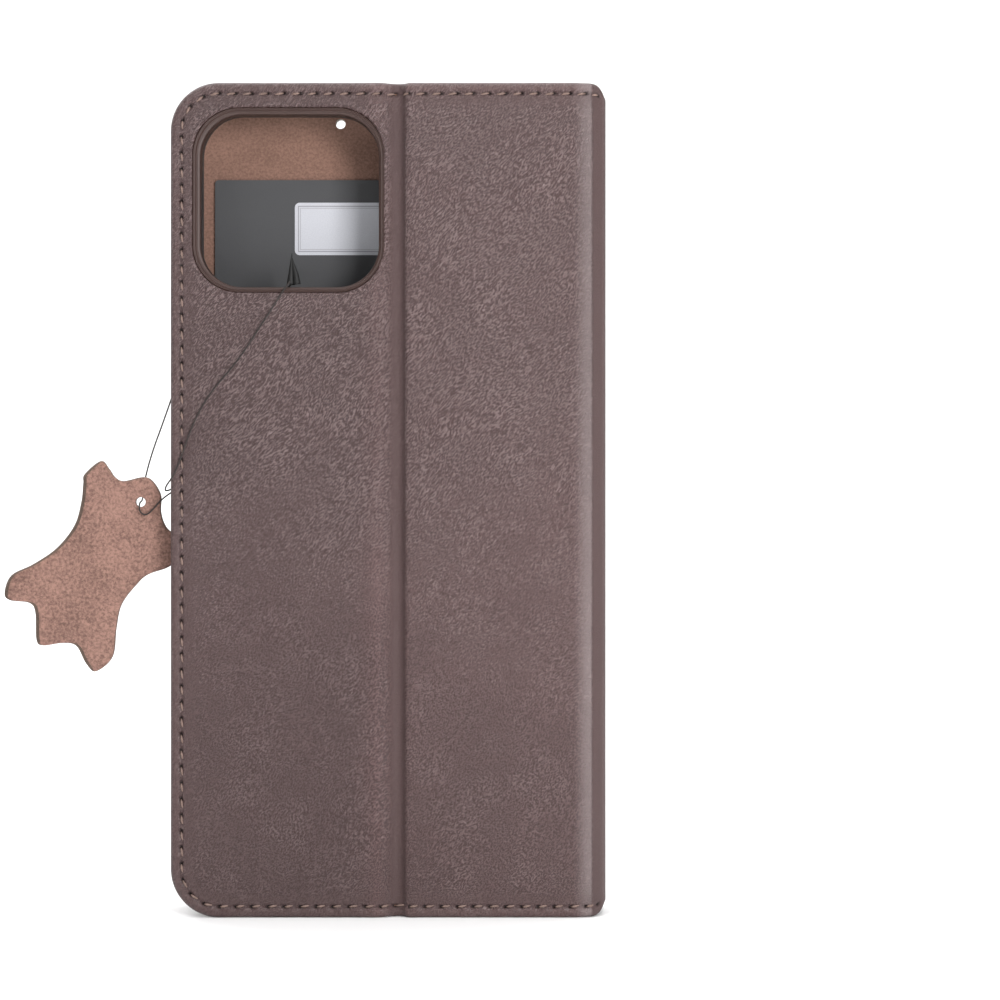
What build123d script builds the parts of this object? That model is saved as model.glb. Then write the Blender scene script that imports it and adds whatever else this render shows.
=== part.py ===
"""A book-type leather wallet case for a phone, standing upright and closed.

+Z runs up the long side, the back of the case faces -Y and the front cover faces +Y. The free edge is at -X and
the spine at +X. The origin is the bottom centre of the closed case. Millimetres.

The back is in two halves that fold at a crease. Only the camera half is bonded to the phone shell; the hinge half
peels away from it. A spine with a fold at each edge joins the hinge half to the front cover.
"""
import math
import os

from build123d import *

# Driving dimensions of the closed case
WIDTH = 88.3
HEIGHT = 169.0
THICKNESS = 17.0
FREE_CORNER_R = 9.8  # the two corners of the free edge
SPINE_CORNER_R = 2.1  # the two corners at the spine

LEFT, RIGHT = -WIDTH / 2, WIDTH / 2
BACK, FRONT = -THICKNESS / 2, THICKNESS / 2

# Layer thicknesses
LEATHER = 1.2
BACK_BOARD = 0.7
COVER_BOARD = 0.8
LINING = 0.5
PADDING = 0.5
ADHESIVE = 0.2

# Back panel layers, from the outside in
BACK_BOARD_Y = BACK + LEATHER
BACK_LINING_Y = BACK_BOARD_Y + BACK_BOARD
BACK_INSIDE = BACK_LINING_Y + LINING
SHELL_BACK = BACK_INSIDE + ADHESIVE

# Front cover layers, from the inside out
COVER_INSIDE = 5.6
COVER_BOARD_Y = COVER_INSIDE + LINING
COVER_LEATHER_Y = COVER_BOARD_Y + COVER_BOARD
PADDING_INSET = 4.5

BOARD_INSET = 1.5
LINING_INSET = 0.4

# Fold lines, all parallel to Z: (x, y), the room left each side, and the rolled leather inside
CREASE = (1.5, BACK + LEATHER)
BACK_FOLD = (43.0, BACK + LEATHER)
FRONT_FOLD = (43.0, 7.05)
CREASE_ROOM = 1.3
BACK_ROOM = 1.5
FRONT_ROOM = 1.7
CREASE_BEAD_R = 0.9
SPINE_BEAD_R = 1.05
BEAD_END_GAP = 1.5

HALF_RIGHT = CREASE[0] - CREASE_ROOM
HINGE_LEFT = CREASE[0] + CREASE_ROOM
HINGE_RIGHT = BACK_FOLD[0] - BACK_ROOM
COVER_RIGHT = FRONT_FOLD[0] - FRONT_ROOM

# Spine layers, from the outside in
SPINE_LOW_Y = BACK_FOLD[1] + BACK_ROOM
SPINE_HIGH_Y = FRONT_FOLD[1] - BACK_ROOM
SPINE_STRIP = 0.5

# Seams: a row of stitching in a shallow groove beside the edge
SEAM_INSET = 1.85
SEAM_WIDTH = 0.9
SEAM_DEPTH = 0.35
SEAM_RIGHT = 38.8

# Camera opening: the hole in the leather, and the smaller one in the shell
CAMERA_HOLE = (-39.7, -0.9, 126.5, 163.9)
CAMERA_HOLE_R = 9.5
SHELL_HOLE = (-38.0, -2.0, 127.6, 162.4)
SHELL_HOLE_R = 8.4
BINDING_SINK = 0.2

# Three holes for the earpiece in the front cover
SPEAKER_X = (-10.65, -3.25, 4.15)
SPEAKER_Z = 162.8
SPEAKER_R = 1.0

# Phone shell: a tray that snaps round the phone
PHONE = (78.1, 160.8, 7.6)
SHELL_WALL = 1.3
SHELL_FLOOR = 1.2
SHELL_LIP = 0.9
SHELL_LIP_DEPTH = 0.7
SHELL_CORNER_R = 11.0
SHELL_EDGE_R = 1.8
SHELL_X0 = -41.0
SHELL_X1 = SHELL_X0 + PHONE[0] + 2 * SHELL_WALL
SHELL_Z0 = (HEIGHT - PHONE[1]) / 2 - SHELL_WALL
SHELL_Z1 = SHELL_Z0 + PHONE[1] + 2 * SHELL_WALL
SHELL_FLOOR_Y = SHELL_BACK + SHELL_FLOOR
SHELL_LIP_Y = SHELL_FLOOR_Y + PHONE[2]
SHELL_TOP = SHELL_LIP_Y + SHELL_LIP_DEPTH
SHELL_MID_Y = (SHELL_FLOOR_Y + SHELL_LIP_Y) / 2
SHELL_MID_X = (SHELL_X0 + SHELL_X1) / 2

# Cut-outs in the shell's walls: size along the wall, and height
PORT = (14.0, 5.0)
SPEAKER_SLOT = (15.0, 3.2)
SPEAKER_SLOT_OFFSET = 20.0
MUTE_SLOT = (11.0, 5.0)
MUTE_Z = 139.0

# Buttons: pads that slide in the shell's walls
BUTTON_LENGTH = 12.0
SIDE_BUTTON_LENGTH = 16.0
BUTTON_WIDTH = 4.2
BUTTON_GAP = 0.3
BUTTON_PROUD = 0.4
VOLUME_UP_Z = 124.5
VOLUME_DOWN_Z = 108.5
SIDE_BUTTON_Z = 114.0

# Magnets that hold the cover shut
MAGNET_R = 4.0
MAGNET_X = -37.2
MAGNET_Z = (44.0, 104.0)

# Pockets on the inside of the cover: (node, top edge, left, right, inner face y, outer face y)
BILL_POCKET = ("bill_pocket", 125.0, -40.3, 38.6, 4.6, 5.0)
CARD_POCKETS = (
    ("card_pocket_upper", 101.0, -36.0, 34.0, 4.3, 4.6),
    ("card_pocket_middle", 80.0, -36.0, 34.0, 4.0, 4.3),
    ("card_pocket_lower", 59.0, -36.0, 34.0, 3.7, 4.0),
)
POCKET_BOTTOM = 4.6
POCKET_BORDER = 1.6

# Insert card in the bill pocket, with a plain label
CARD = (-36.7, 34.3, 41.0, 151.0)
CARD_Y = (5.1, 5.5)
CARD_R = 0.8
LABEL = (-20.1, 17.7, 135.4, 146.3)
LABEL_THICK = 0.08
LABEL_R = 1.0

# Hang tag: a leather piece in the outline of a hide, on a thin thread
TAG_Y = -2.0
TAG_THICK = 1.6
TAG_HOLE = (-51.0, 84.1)
TAG_HOLE_R = 1.0
TAG_OUTLINE = (
    (-57.5, 90.9), (-59.2, 92.5), (-62.5, 89.8), (-62.8, 87.9), (-63.2, 84.1), (-64.6, 79.3),
    (-68.2, 74.7), (-73.0, 71.4), (-77.5, 69.1), (-78.9, 65.6), (-77.9, 64.0), (-73.8, 63.4),
    (-72.6, 61.4), (-72.4, 56.0), (-71.1, 54.7), (-67.0, 55.2), (-64.2, 54.6), (-62.2, 51.0),
    (-60.2, 49.4), (-56.8, 52.4), (-56.0, 58.4), (-54.9, 63.2), (-51.6, 67.5), (-49.4, 69.3),
    (-45.3, 70.8), (-43.2, 73.2), (-43.6, 76.6), (-45.9, 79.1), (-46.9, 82.1), (-46.9, 85.5),
    (-48.6, 88.4), (-50.6, 89.2), (-54.5, 88.4), (-56.3, 89.2),
)

# Thread: from a knot in the camera hole over the back and round the free edge, through the tag, and back inside
THREAD_R = 0.16
KNOT = (-19.3, -7.0, 129.2)
KNOT_R = 1.1
OUTER_ROUTE = (
    (-19.85, -7.78, 128.88), (-20.9, -9.2, 127.3), (-22.8, -9.3, 124.2), (-25.8, -9.05, 119.7),
    (-30.2, -8.95, 112.8), (-36.3, -8.95, 105.9), (-39.6, -9.05, 99.6), (-41.6, -9.0, 93.8),
    (-43.2, -9.2, 89.6), (-44.9, -8.9, 87.4), (-45.5, -6.4, 86.4), (-45.2, -4.0, 86.4),
    (-44.4, -2.0, 86.9),
)
LOOP_ROUTE = (
    (-44.4, -2.0, 86.3), (-46.3, -3.4, 85.0), (-48.3, -3.6, 82.6), (-49.7, -3.7, 81.3),
    (-51.1, -3.65, 82.0), (-51.15, -3.45, 84.0), (-50.9, -0.5, 84.3), (-50.6, -0.4, 88.4),
    (-48.8, -0.95, 94.6), (-46.5, -1.3, 100.6), (-44.4, -2.0, 106.4),
)
INNER_ROUTE = (
    (-44.4, -2.0, 106.6), (-43.3, -1.3, 112.0), (-42.9, 0.6, 118.2), (-42.8, 3.0, 122.5),
    (-42.4, 4.75, 126.0), (-39.8, 4.75, 128.0), (-36.4, 3.9, 128.2), (-31.5, 0.6, 127.3),
    (-26.0, -3.0, 127.0), (-21.8, -3.6, 127.1), (-20.0, -4.0, 128.4), (-19.55, -6.07, 129.05),
)


def outline(x0, x1, z0, z1, left_r=0.0, right_r=0.0):
    """A rectangle in the XZ plane, its left and right corners rounded."""
    face = Pos((x0 + x1) / 2, (z0 + z1) / 2) * Rectangle(x1 - x0, z1 - z0)
    if left_r:
        face = fillet(face.vertices().group_by(Axis.X)[0], left_r)
    if right_r:
        face = fillet(face.vertices().group_by(Axis.X)[-1], right_r)
    return face


def slab(face, low_y, high_y):
    """A flat piece: the face in the XZ plane, filled from low_y to high_y."""
    return extrude(Plane.XZ.offset(-high_y) * face, amount=high_y - low_y)


def panel(right, inset=0.0):
    """The outline of a panel with the case's free-edge corners, inset on three sides and square at its right."""
    return outline(LEFT + inset, right, inset, HEIGHT - inset, left_r=FREE_CORNER_R - inset)


def camera_hole():
    return outline(*CAMERA_HOLE, left_r=CAMERA_HOLE_R, right_r=CAMERA_HOLE_R)


def shell_hole():
    return outline(*SHELL_HOLE, left_r=SHELL_HOLE_R, right_r=SHELL_HOLE_R)


def edge_seam(right):
    """The seam band along the free edge, the top and the bottom, as far as right."""
    outer = panel(right, SEAM_INSET)
    return outer - panel(right + 1, SEAM_INSET + SEAM_WIDTH)


def strip_seams(left, right):
    """The seam bands along the top and the bottom alone."""
    low = outline(left, right, SEAM_INSET, SEAM_INSET + SEAM_WIDTH)
    high = outline(left, right, HEIGHT - SEAM_INSET - SEAM_WIDTH, HEIGHT - SEAM_INSET)
    return low, high


def rod(center, radius, z0, z1):
    """A round bar along Z."""
    return Pos(center[0], center[1], (z0 + z1) / 2) * Cylinder(radius, z1 - z0)


def speaker_holes(y0, y1):
    return [
        Pos(x, (y0 + y1) / 2, SPEAKER_Z) * Rot(X=90) * Cylinder(SPEAKER_R, y1 - y0 + 2) for x in SPEAKER_X
    ]


def magnet_discs(y0, y1):
    return [Pos(MAGNET_X, (y0 + y1) / 2, z) * Rot(X=90) * Cylinder(MAGNET_R, y1 - y0) for z in MAGNET_Z]


def camera_half():
    """The back's half with the camera hole, and what is fixed to it."""
    seam = slab(edge_seam(HALF_RIGHT), BACK, BACK + SEAM_DEPTH)
    hole = slab(camera_hole(), BACK - 1, SHELL_BACK + 1)
    magnets = magnet_discs(BACK_BOARD_Y, BACK_LINING_Y)
    leather = slab(panel(HALF_RIGHT), BACK, BACK_BOARD_Y) - hole - seam
    board = slab(panel(CAMERA_HOLE[1] - 0.7, BOARD_INSET), BACK_BOARD_Y, BACK_LINING_Y) - hole - magnets
    lining = slab(panel(HALF_RIGHT, LINING_INSET), BACK_LINING_Y, BACK_INSIDE) - hole
    binding = slab(camera_hole() - shell_hole(), BACK + BINDING_SINK, SHELL_BACK)
    adhesive = slab(outline(-39.0, -1.5, 6.0, 123.0, 6.0), BACK_INSIDE, SHELL_BACK)
    return {
        "back_leather_camera_half": leather,
        "back_stitching_camera_half": seam,
        "back_board_camera_half": board,
        "back_magnets": Compound(children=magnets),
        "back_lining_camera_half": lining,
        "camera_hole_binding": binding,
        "shell_adhesive": adhesive,
    }


def wall_cut(x, z, along_x, along_z, height, y=SHELL_MID_Y):
    """A rounded cutter through a wall of the shell: long in X or Z, height in Y."""
    deep = 4 * SHELL_WALL
    if along_x:
        return Pos(x, y, z) * extrude(SlotOverall(along_x, height), amount=deep / 2, both=True)
    face = Plane.YZ * Rot(Z=90) * SlotOverall(along_z, height)
    return Pos(x, y, z) * extrude(face, amount=deep / 2, both=True)


def phone_shell():
    """The tray: floor, walls and a lip that holds the phone, with its cut-outs."""
    body = slab(
        outline(SHELL_X0, SHELL_X1, SHELL_Z0, SHELL_Z1, SHELL_CORNER_R, SHELL_CORNER_R), SHELL_BACK, SHELL_TOP
    )
    body = fillet(body.faces().sort_by(Axis.Y)[0].edges(), SHELL_EDGE_R)
    body = fillet(body.faces().sort_by(Axis.Y)[-1].edges(), SHELL_LIP_DEPTH / 2)
    for inset, low, high in (
        (SHELL_WALL, SHELL_FLOOR_Y, SHELL_LIP_Y),
        (SHELL_WALL + SHELL_LIP, SHELL_LIP_Y, SHELL_TOP + 1),
    ):
        r = SHELL_CORNER_R - inset
        space = outline(SHELL_X0 + inset, SHELL_X1 - inset, SHELL_Z0 + inset, SHELL_Z1 - inset, r, r)
        body -= slab(space, low, high)
    body -= slab(shell_hole(), SHELL_BACK - 1, SHELL_FLOOR_Y + 1)
    body -= wall_cut(SHELL_MID_X, SHELL_Z0, PORT[0], 0, PORT[1])
    for side in (-1, 1):
        body -= wall_cut(SHELL_MID_X + side * SPEAKER_SLOT_OFFSET, SHELL_Z0, SPEAKER_SLOT[0], 0, SPEAKER_SLOT[1])
    body -= wall_cut(SHELL_X1, MUTE_Z, 0, MUTE_SLOT[0], MUTE_SLOT[1])
    for x, z, length in (
        (SHELL_X1, VOLUME_UP_Z, BUTTON_LENGTH),
        (SHELL_X1, VOLUME_DOWN_Z, BUTTON_LENGTH),
        (SHELL_X0, SIDE_BUTTON_Z, SIDE_BUTTON_LENGTH),
    ):
        body -= wall_cut(x, z, 0, length + 2 * BUTTON_GAP, BUTTON_WIDTH + 2 * BUTTON_GAP)
    return body


def button(side, z, length):
    """A pad in the wall at the given side (-1 or 1), standing a little proud of it."""
    outside = (SHELL_X0 if side < 0 else SHELL_X1) + side * BUTTON_PROUD
    thick = SHELL_WALL + BUTTON_PROUD
    face = Plane.YZ * Rot(Z=90) * SlotOverall(length, BUTTON_WIDTH)
    pad = Pos(outside - side * thick / 2, SHELL_MID_Y, z) * extrude(face, amount=thick / 2, both=True)
    return fillet(pad.faces().sort_by(Axis.X)[0 if side < 0 else -1].edges(), 0.35)


def hinge_half():
    """The back's free half, between the crease and the spine."""
    left, right = HINGE_LEFT, HINGE_RIGHT
    seams = [slab(s, BACK, BACK + SEAM_DEPTH) for s in strip_seams(left, SEAM_RIGHT)]
    leather = slab(outline(left, right, 0, HEIGHT), BACK, BACK_BOARD_Y) - seams
    board = outline(left + BOARD_INSET, right - BOARD_INSET, BOARD_INSET, HEIGHT - BOARD_INSET)
    lining = outline(left, right, LINING_INSET, HEIGHT - LINING_INSET)
    return {
        "back_leather_hinge_half": leather,
        "back_stitching_hinge_half": Compound(children=seams),
        "back_board_hinge_half": slab(board, BACK_BOARD_Y, BACK_LINING_Y),
        "back_lining_hinge_half": slab(lining, BACK_LINING_Y, BACK_INSIDE),
        "crease_fold": rod(CREASE, CREASE_BEAD_R, BEAD_END_GAP, HEIGHT - BEAD_END_GAP),
    }


def spine():
    """The narrow panel between the two folds, with the rolled leather of each fold."""
    strip_x = RIGHT - LEATHER - SPINE_STRIP
    layers = {
        "spine_leather": (RIGHT - LEATHER, RIGHT),
        "spine_strip": (strip_x, RIGHT - LEATHER),
        "spine_lining": (strip_x - LINING, strip_x),
    }
    profile = outline(strip_x - LINING, RIGHT, 0, HEIGHT, right_r=SPINE_CORNER_R)
    pieces = {
        name: slab(profile & outline(x0, x1, 0, HEIGHT), SPINE_LOW_Y, SPINE_HIGH_Y)
        for name, (x0, x1) in layers.items()
    }
    pieces["back_fold_leather"] = rod(BACK_FOLD, SPINE_BEAD_R, BEAD_END_GAP, HEIGHT - BEAD_END_GAP)
    pieces["front_fold_leather"] = rod(FRONT_FOLD, SPINE_BEAD_R, BEAD_END_GAP, HEIGHT - BEAD_END_GAP)
    return pieces


def front_cover():
    """The front cover: leather over a thin padding, a board and the lining."""
    holes = speaker_holes(COVER_INSIDE, FRONT)
    seam = slab(edge_seam(SEAM_RIGHT), FRONT - SEAM_DEPTH, FRONT)
    padding = outline(
        LEFT + PADDING_INSET, COVER_RIGHT - PADDING_INSET, PADDING_INSET, HEIGHT - PADDING_INSET,
        FREE_CORNER_R - PADDING_INSET,
    )
    padding = slab(padding, COVER_LEATHER_Y, COVER_LEATHER_Y + PADDING)
    magnets = magnet_discs(COVER_BOARD_Y, COVER_LEATHER_Y)
    leather = slab(panel(COVER_RIGHT), COVER_LEATHER_Y, FRONT) - padding - seam - holes
    board = slab(panel(COVER_RIGHT - BOARD_INSET, BOARD_INSET), COVER_BOARD_Y, COVER_LEATHER_Y) - magnets - holes
    lining = slab(panel(COVER_RIGHT, LINING_INSET), COVER_INSIDE, COVER_BOARD_Y) - holes
    return {
        "front_leather": leather,
        "front_stitching": seam,
        "front_padding": padding - holes,
        "front_board": board,
        "front_magnets": Compound(children=magnets),
        "front_lining": lining,
    }


def pockets():
    """The bill pocket, sewn down along three sides, and the stepped card pockets over it."""
    name, top, left, right, low, high = BILL_POCKET
    sheet = outline(left, right, POCKET_BOTTOM, top)
    room = outline(left + POCKET_BORDER, right - POCKET_BORDER, POCKET_BOTTOM + POCKET_BORDER, top + 1)
    pieces = {name: slab(sheet, low, high) + slab(sheet - room, high, COVER_INSIDE)}
    for name, top, left, right, low, high in CARD_POCKETS:
        sheet = outline(left, right, POCKET_BOTTOM + POCKET_BORDER, top)
        pieces[name] = slab(sheet, low, high)
    return pieces


def card():
    """The insert card and the plain label on its inner face."""
    return {
        "insert_card": slab(outline(*CARD, CARD_R, CARD_R), *CARD_Y),
        "card_label": slab(outline(*LABEL, LABEL_R, LABEL_R), CARD_Y[0] - LABEL_THICK, CARD_Y[0]),
    }


def tag():
    """The hang tag, with its hole."""
    edge = Spline([(x, z) for x, z in TAG_OUTLINE], periodic=True)
    face = make_face(edge) - Pos(*TAG_HOLE) * Circle(TAG_HOLE_R)
    return slab(face, TAG_Y - TAG_THICK / 2, TAG_Y + TAG_THICK / 2)


def thread(name, route):
    """A round thread: straight runs joined by tangent arcs, each as large as its two runs allow."""
    points = [Vector(*p) for p in route]
    radii = []
    for a, b, c in zip(points, points[1:], points[2:]):
        shorter = min((b - a).length, (c - b).length)
        half_turn = math.radians((b - a).get_angle(c - b)) / 2
        radii.append(0.45 * shorter / math.tan(half_turn))
    path = FilletPolyline(*points, radius=radii)
    tube = sweep(Plane(origin=path @ 0, z_dir=path % 0) * Circle(THREAD_R), path=path)
    expected = math.pi * THREAD_R**2 * path.length
    print(f"{name}: {path.length:.1f} mm, volume {tube.volume:.3f} of {expected:.3f} mm3, "
          f"smallest radius {min(radii):.2f} mm")
    return tube


def main():
    nodes = camera_half()
    nodes["phone_shell"] = phone_shell()
    nodes["volume_up_button"] = button(1, VOLUME_UP_Z, BUTTON_LENGTH)
    nodes["volume_down_button"] = button(1, VOLUME_DOWN_Z, BUTTON_LENGTH)
    nodes["side_button"] = button(-1, SIDE_BUTTON_Z, SIDE_BUTTON_LENGTH)
    nodes.update(hinge_half())
    nodes.update(spine())
    nodes.update(front_cover())
    nodes.update(pockets())
    nodes.update(card())
    nodes["hang_tag"] = tag()
    nodes["thread_knot"] = Pos(*KNOT) * Sphere(KNOT_R)
    nodes["tag_thread_outer"] = thread("tag_thread_outer", OUTER_ROUTE)
    nodes["tag_thread_loop"] = thread("tag_thread_loop", LOOP_ROUTE)
    nodes["tag_thread_inner"] = thread("tag_thread_inner", INNER_ROUTE)
    os.makedirs("parts", exist_ok=True)
    for name, shape in nodes.items():
        export_step(shape, f"parts/{name}.step")


main()
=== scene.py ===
"""The looks of the phone wallet case: leather, suede, stitching, soft shell, card, hang tag and thread.

Lengths are in millimetres up to the point where a mesh or a curve is made; MM turns them into metres. The case
stands upright, its back towards -Y, its free edge at -X and its spine at +X. A panel is drawn flat first, as a
sheet of u (along the leather, round the case) and v (up), then wrapped on to the path that the leather takes
round the case, seen from above.
"""
import math

import bmesh
import bpy
import numpy as np
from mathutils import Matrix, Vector
from mathutils.geometry import delaunay_2d_cdt
from mathutils.kdtree import KDTree


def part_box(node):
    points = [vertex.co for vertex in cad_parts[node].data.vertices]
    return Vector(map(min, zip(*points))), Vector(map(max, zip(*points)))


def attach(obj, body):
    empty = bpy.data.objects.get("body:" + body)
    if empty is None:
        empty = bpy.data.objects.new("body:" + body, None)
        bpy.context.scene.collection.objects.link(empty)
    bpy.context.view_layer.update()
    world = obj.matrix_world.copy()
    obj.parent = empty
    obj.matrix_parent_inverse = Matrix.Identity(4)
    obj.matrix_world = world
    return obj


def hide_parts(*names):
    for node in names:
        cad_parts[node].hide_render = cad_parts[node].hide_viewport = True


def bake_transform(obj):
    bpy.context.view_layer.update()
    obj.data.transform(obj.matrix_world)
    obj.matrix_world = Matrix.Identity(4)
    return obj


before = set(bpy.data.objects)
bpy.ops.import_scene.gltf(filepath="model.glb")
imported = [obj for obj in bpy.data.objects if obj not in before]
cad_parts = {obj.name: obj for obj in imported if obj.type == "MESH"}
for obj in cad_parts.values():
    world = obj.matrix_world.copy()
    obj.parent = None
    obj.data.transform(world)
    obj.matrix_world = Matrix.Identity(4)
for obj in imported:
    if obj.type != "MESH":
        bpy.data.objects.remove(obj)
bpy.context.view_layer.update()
MM = 0.001


def box_mm(node):
    """A node's lowest and highest corners in millimetres."""
    return [np.array(corner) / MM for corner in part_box(node)]


# ---- measures, from the frame ----
(LEFT, BACK, _), (_, _, HEIGHT) = box_mm("back_leather_camera_half")
RIGHT = box_mm("spine_leather")[1][0]
FRONT = box_mm("front_leather")[1][1]
BACK_INSIDE = box_mm("back_lining_camera_half")[1][1]
COVER_INSIDE = box_mm("front_lining")[0][1]
SPINE_INSIDE = box_mm("spine_lining")[0][0]
CREASE_X = sum(c[0] for c in box_mm("crease_fold")) / 2
HOLE_LOW, HOLE_HIGH = box_mm("camera_hole_binding")

CORNER_R = 9.8  # the case's corners at the free edge
CUT_X = 22.0  # the leather and the lining are each made in three pieces; two meet here
HOLE_R = 9.5
LIP = (1.7, 1.1, 1.1, 1.5)  # the shell's opening inside the leather's: left, right, bottom, top
LIP_R = 8.4
SPEAKER_X = (-10.65, -3.25, 4.15)
SPEAKER_Z = 162.8
SPEAKER_R = 1.05  # the leather's hole, a little wider than the earpiece hole

SKIN = 1.15  # thickness of the leather
EDGE_R = 1.07  # the leather's roll round a panel's edge
TURN_IN = 3.4  # how far the leather runs back on the inside
RING_END = 3.2  # inset where the fine rings beside an edge stop
SPINE_SHORT = 2.0  # how much lower the leather's ends are at the spine
BOARD_END = 3.6  # the spine's strip ends this far from the leather's
NO_NEEDLE = 9.0  # stands for the distance where nothing is sewn
GRID = 0.8  # spacing of the surface's points away from the edges
ALONG = 0.24  # spacing along an edge
SEAM_INSET = 2.3
PITCH = 3.25  # stitch length
GRAIN_UV = 100.0  # millimetres of leather to one unit of the grain's UV map
BACK_SHARE, COVER_SHARE = (0.0, 0.48), (0.52, 1.0)  # the shares of a path on the back and on the cover


link_to_scene = bpy.context.scene.collection.objects.link


# ---- small mathematics ----
def smoothstep(low, high, x):
    t = np.clip((x - low) / (high - low), 0, 1)
    return t * t * (3 - 2 * t)


def bump(x, middle, width):
    return np.exp(-(((x - middle) / width) ** 2))


def cut_corners(points, rounds=5):
    """A smooth curve inside a control polygon: each corner is cut, and cut again."""
    p = np.array(points, float)
    for _ in range(rounds):
        a, b = p[:-1], p[1:]
        inner = np.stack([0.75 * a + 0.25 * b, 0.25 * a + 0.75 * b], 1).reshape(-1, p.shape[1])
        p = np.vstack([p[:1], inner, p[-1:]])
    return p


class Path:
    """A line seen from above, with a place and an outward direction at each length u along it."""

    def __init__(self, controls, side=1):
        self.p = cut_corners(controls)
        self.u = np.concatenate([[0], np.cumsum(np.linalg.norm(np.diff(self.p, axis=0), axis=1))])
        self.length = self.u[-1]
        self.side = side

    def at(self, u):
        return np.stack([np.interp(u, self.u, self.p[:, k]) for k in (0, 1)], -1)

    def outward(self, u, reach=0.12):
        d = self.at(np.minimum(u + reach, self.length)) - self.at(np.maximum(u - reach, 0))
        d /= np.linalg.norm(d, axis=-1, keepdims=True)
        return self.side * np.stack([d[..., 1], -d[..., 0]], -1)

    def find(self, axis, value, low, high):
        """The length at which x (axis 0) or y (axis 1) reaches value, between two shares of the path."""
        keep = (self.u >= low * self.length) & (self.u <= high * self.length)
        at, u = self.p[keep][:, axis], self.u[keep]
        return u[np.argmin(abs(at - value))]

    def on_back(self, x):
        return self.find(0, x, *BACK_SHARE)

    def on_cover(self, x):
        return self.find(0, x, *COVER_SHARE)


# ---- the flat outline of a panel ----
def arc(cu, cv, r, a, b, step):
    t = np.radians(np.linspace(a, b, max(3, int(abs(b - a) * math.pi / 180 * r / step))))
    out = np.stack([np.cos(t), np.sin(t)], 1)
    return np.hstack([[cu, cv] + r * out, -out])


def run(a, b, inward, step):
    n = max(2, int(math.dist(a, b) / step) + 1)
    p = np.linspace(a, b, n)
    return np.hstack([p, np.tile(inward, (n, 1))])


def tidy(*parts):
    """Joins stretches of outline, dropping points that repeat."""
    p = np.vstack(parts)
    keep = np.concatenate([[True], np.linalg.norm(np.diff(p[:, :2], axis=0), axis=1) > 1e-6])
    return p[keep]


def outline(u0, u1, v0, v1, free, radius, step=ALONG):
    """Chains of rows (u, v, inward u, inward v) round a sheet's free edges: left, right, both or none."""
    r = radius
    bottom = lambda a, b: run((a, v0), (b, v0), (0, 1), step)
    top = lambda a, b: run((a, v1), (b, v1), (0, -1), step)
    left = (arc(u0 + r, v0 + r, r, -90, -180, step), run((u0, v0 + r), (u0, v1 - r), (1, 0), step),
            arc(u0 + r, v1 - r, r, 180, 90, step))
    right = (arc(u1 - r, v1 - r, r, 90, 0, step), run((u1, v1 - r), (u1, v0 + r), (-1, 0), step),
             arc(u1 - r, v0 + r, r, 0, -90, step))
    if free == "left":
        return [tidy(bottom(u1, u0 + r), *left, top(u0 + r, u1))]
    if free == "right":
        return [tidy(top(u0, u1 - r), *right, bottom(u1 - r, u0))]
    if free == "both":
        return [tidy(bottom(u1 - r, u0 + r), *left, top(u0 + r, u1 - r), *right)[:-1]]
    return [bottom(u1, u0), top(u0, u1)]


def rounded_loop(u0, u1, v0, v1, radius, step=0.4):
    """A closed outline, with its outward direction, for an opening."""
    chain = outline(u0, u1, v0, v1, "both", radius, step)[0]
    chain[:, 2:] *= -1
    return chain


def round_loop(u, v, radius, count=40):
    t = np.linspace(0, -2 * math.pi, count, endpoint=False)
    out = np.stack([np.cos(t), np.sin(t)], 1)
    return np.hstack([[u, v] + radius * out, out])


def inset_of(p, u0, u1, v0, v1, free, radius):
    """How far points lie inside the outline; a cut side counts as far away."""
    a = u0 if free in ("left", "both") else u0 - 1000
    b = u1 if free in ("right", "both") else u1 + 1000
    q = abs(p - [(a + b) / 2, (v0 + v1) / 2]) - np.array([(b - a) / 2, (v1 - v0) / 2]) + radius
    return radius - np.linalg.norm(np.maximum(q, 0), axis=1) - np.minimum(q.max(1), 0)


def within(points, loop):
    """Which points lie inside a closed loop."""
    x, y = points[:, 0][:, None], points[:, 1][:, None]
    x0, y0 = loop[:, 0], loop[:, 1]
    x1, y1 = np.roll(x0, -1), np.roll(y0, -1)
    inside = np.zeros(len(points), bool)
    for k in range(0, len(loop), 64):
        a, b, c, d = (q[None, k:k + 64] for q in (x0, y0, x1, y1))
        crosses = ((b > y) != (d > y)) & (x < (c - a) * (y - b) / np.where(d == b, 1e-12, d - b) + a)
        inside ^= (crosses.sum(1) % 2).astype(bool)
    return inside


def distance_from(points):
    """A function that gives a place's distance from the nearest of the points."""
    tree = KDTree(len(points))
    for i, p in enumerate(points):
        tree.insert((*p, 0), i)
    tree.balance()
    return lambda p: tree.find((*p, 0))[2]


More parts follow.
